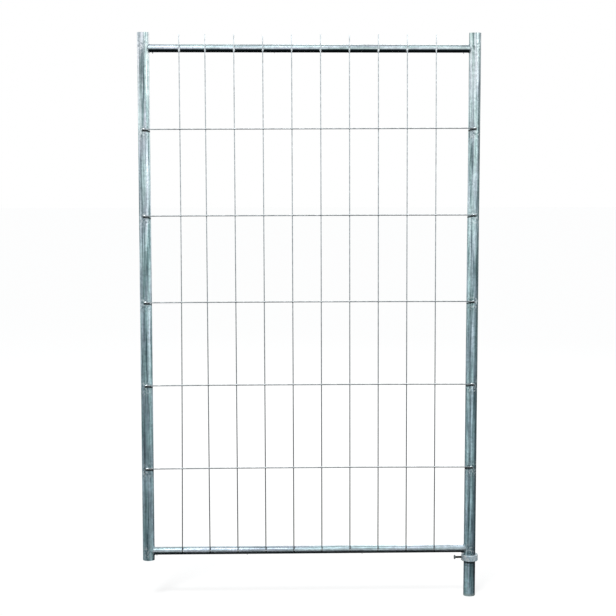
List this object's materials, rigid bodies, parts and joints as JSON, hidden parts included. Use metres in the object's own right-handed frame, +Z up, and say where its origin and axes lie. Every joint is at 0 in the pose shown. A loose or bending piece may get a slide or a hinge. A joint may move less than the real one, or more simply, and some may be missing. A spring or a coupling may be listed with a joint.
{
  "type": "temporary fence gate leaf",
  "caption": "Galvanised temporary fence gate leaf: tube frame, welded wire mesh, and a clamp collar on the hinge post above its ground stub.",
  "frame": {"origin": "on the hinge post's axis, in the flat lower end face of its ground stub", "axes": "+Z up along the hinge post; +X away from the latch post, so the leaf reaches to -X; -Y is the front, where the mesh lies"},
  "size_m": [1.209, 0.06, 2.015],
  "materials": {
    "tube_zinc": "hot-dip galvanised tube, streaked, bluish grey, paler towards the top",
    "wire_zinc": "hot-dip galvanised wire, mid grey",
    "weld_zinc": "welds under hot-dip zinc, dull",
    "collar_zinc": "galvanised turned ring, pale and dull",
    "screw_zinc": "dark zinc-plated screw"
  },
  "bodies": {
    "leaf": {"hinge_post": "tube_zinc", "latch_post": "tube_zinc", "top_rail": "tube_zinc", "bottom_rail": "tube_zinc", "wire_mesh": "wire_zinc", "top_hinge_weld": "weld_zinc", "top_latch_weld": "weld_zinc", "bottom_hinge_weld": "weld_zinc", "bottom_latch_weld": "weld_zinc", "top_rail_wire_welds": "weld_zinc", "bottom_rail_wire_welds": "weld_zinc", "hinge_post_wire_welds": "weld_zinc", "latch_post_wire_welds": "weld_zinc"},
    "collar": {"collar_ring": "collar_zinc", "collar_screw": "screw_zinc"}
  },
  "joints": [
    {"name": "collar_slide", "type": "slide", "parent": "leaf", "child": "collar", "axis": [0, 0, 1], "range_m": [-0.12, 0]}
  ]
}
